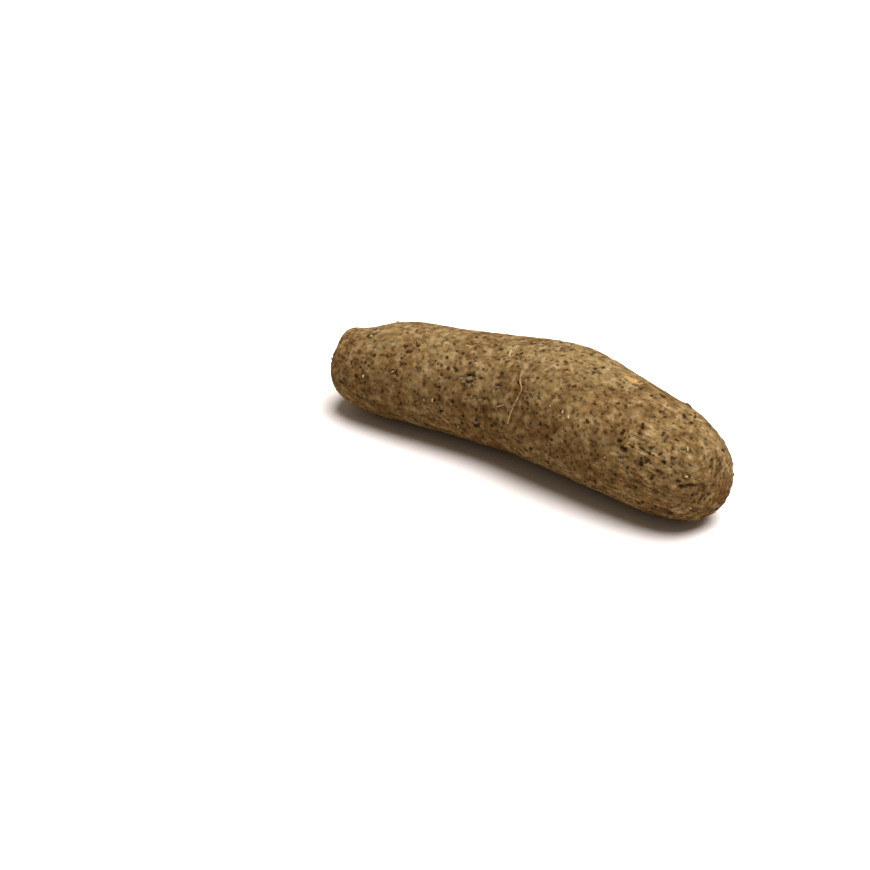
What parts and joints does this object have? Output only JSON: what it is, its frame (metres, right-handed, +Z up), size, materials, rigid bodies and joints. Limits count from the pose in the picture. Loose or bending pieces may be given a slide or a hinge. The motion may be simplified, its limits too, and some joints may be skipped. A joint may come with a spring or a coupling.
{
  "type": "yam tuber",
  "caption": "Whole raw yam tuber with rough brown corky skin, gently bent, one end narrower, lying on its side.",
  "frame": {"origin": "on the table plane z = 0, under the middle of the tuber's box", "axes": "+X along the tuber from the crown, where the vine was, to the growing tip; +Z up; both ends bend towards -Y"},
  "size_m": [0.2676, 0.082, 0.0766],
  "materials": {
    "yam_skin": "dull, rough, corky"
  },
  "bodies": {
    "root": {"yam": "yam_skin"}
  },
  "joints": []
}
